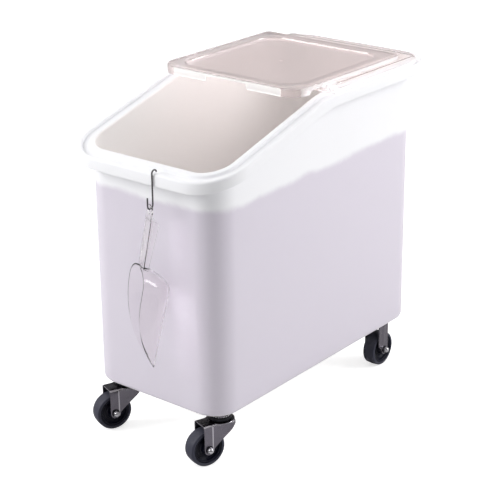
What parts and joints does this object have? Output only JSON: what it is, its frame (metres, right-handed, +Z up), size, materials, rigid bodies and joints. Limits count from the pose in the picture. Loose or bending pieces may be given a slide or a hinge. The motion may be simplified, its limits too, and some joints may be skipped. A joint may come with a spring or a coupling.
{
  "type": "rolling ingredient bin",
  "caption": "Mobile slant-top ingredient bin: white plastic tub on swivel and fixed casters, clear two-part sliding lid, and a clear scoop on a wire hook.",
  "frame": {"origin": "on the floor under the middle of the tub", "axes": "+Z up, -Y towards the sloping front with the scoop, +X to the bin's right seen from its rear"},
  "size_m": [0.392, 0.7796, 0.711],
  "materials": {
    "tub_plastic": "white translucent polyethylene, satin",
    "lid_clear": "clear polycarbonate with a faint rosy tint",
    "scoop_clear": "clear polycarbonate",
    "hook_wire": "dark steel wire",
    "plated_steel": "bright zinc plating",
    "dark_steel": "dark oiled steel",
    "brass_insert": "plain brass",
    "wheel_core": "black moulded plastic",
    "wheel_tread": "grey rubber tread"
  },
  "bodies": {
    "tub": {"bin_body": "tub_plastic", "caster_inserts": "brass_insert", "caster_bolts": "plated_steel", "front_right_plate": "plated_steel", "front_right_race": "dark_steel", "front_right_kingpin": "plated_steel", "front_left_plate": "plated_steel", "front_left_race": "dark_steel", "front_left_kingpin": "plated_steel", "rear_right_fork": "plated_steel", "rear_right_axle": "plated_steel", "rear_right_nut": "plated_steel", "rear_right_bush": "plated_steel", "rear_left_fork": "plated_steel", "rear_left_axle": "plated_steel", "rear_left_nut": "plated_steel", "rear_left_bush": "plated_steel"},
    "lid_rear": {"rear_lid": "lid_clear"},
    "lid_carrier": {"right_lid_guide": "lid_clear", "left_lid_guide": "lid_clear", "lid_guide_pins": "plated_steel"},
    "lid_front": {"front_lid": "lid_clear"},
    "hook": {"scoop_hook": "hook_wire"},
    "scoop_body": {"scoop": "scoop_clear"},
    "front_right_swivel": {"front_right_fork": "plated_steel", "front_right_axle": "plated_steel", "front_right_nut": "plated_steel", "front_right_bush": "plated_steel"},
    "front_right_wheel": {"front_right_core": "wheel_core", "front_right_tyre": "wheel_tread"},
    "front_left_swivel": {"front_left_fork": "plated_steel", "front_left_axle": "plated_steel", "front_left_nut": "plated_steel", "front_left_bush": "plated_steel"},
    "front_left_wheel": {"front_left_core": "wheel_core", "front_left_tyre": "wheel_tread"},
    "rear_right_wheel": {"rear_right_core": "wheel_core", "rear_right_tyre": "wheel_tread"},
    "rear_left_wheel": {"rear_left_core": "wheel_core", "rear_left_tyre": "wheel_tread"}
  },
  "joints": [
    {"name": "lid_lift", "type": "slide", "parent": "tub", "child": "lid_rear", "axis": [0, 0, 1], "range_m": [0, 0.15]},
    {"name": "lid_tilt", "type": "hinge", "parent": "lid_rear", "child": "lid_carrier", "pos_m": [0, 0, 0.697], "axis": [1, 0, 0], "range_deg": [0, 15.5]},
    {"name": "lid_slide", "type": "slide", "parent": "lid_carrier", "child": "lid_front", "axis": [0, -1, 0], "range_m": [-0.034, 0.248]},
    {"name": "hook_swing", "type": "hinge", "parent": "tub", "child": "hook", "pos_m": [0.044, -0.355, 0.59343], "axis": [-1, 0, 0], "range_deg": [0, 20]},
    {"name": "scoop_swing", "type": "hinge", "parent": "hook", "child": "scoop_body", "pos_m": [0.044, -0.36825, 0.52793], "axis": [0, 1, 0], "range_deg": [-15, 15]},
    {"name": "front_right_turn", "type": "hinge", "parent": "tub", "child": "front_right_swivel", "pos_m": [0.123, -0.276, 0.1], "axis": [0, 0, 1], "continuous": true},
    {"name": "front_right_roll", "type": "hinge", "parent": "front_right_swivel", "child": "front_right_wheel", "pos_m": [0.11128, -0.31004, 0.038], "axis": [0.9455, -0.3256, 0], "continuous": true},
    {"name": "front_left_turn", "type": "hinge", "parent": "tub", "child": "front_left_swivel", "pos_m": [-0.123, -0.276, 0.1], "axis": [0, 0, 1], "continuous": true},
    {"name": "front_left_roll", "type": "hinge", "parent": "front_left_swivel", "child": "front_left_wheel", "pos_m": [-0.13649, -0.30938, 0.038], "axis": [0.9272, -0.3746, 0], "continuous": true},
    {"name": "rear_right_roll", "type": "hinge", "parent": "tub", "child": "rear_right_wheel", "pos_m": [0.123, 0.265, 0.038], "axis": [1, 0, 0], "continuous": true},
    {"name": "rear_left_roll", "type": "hinge", "parent": "tub", "child": "rear_left_wheel", "pos_m": [-0.123, 0.265, 0.038], "axis": [1, 0, 0], "continuous": true}
  ]
}
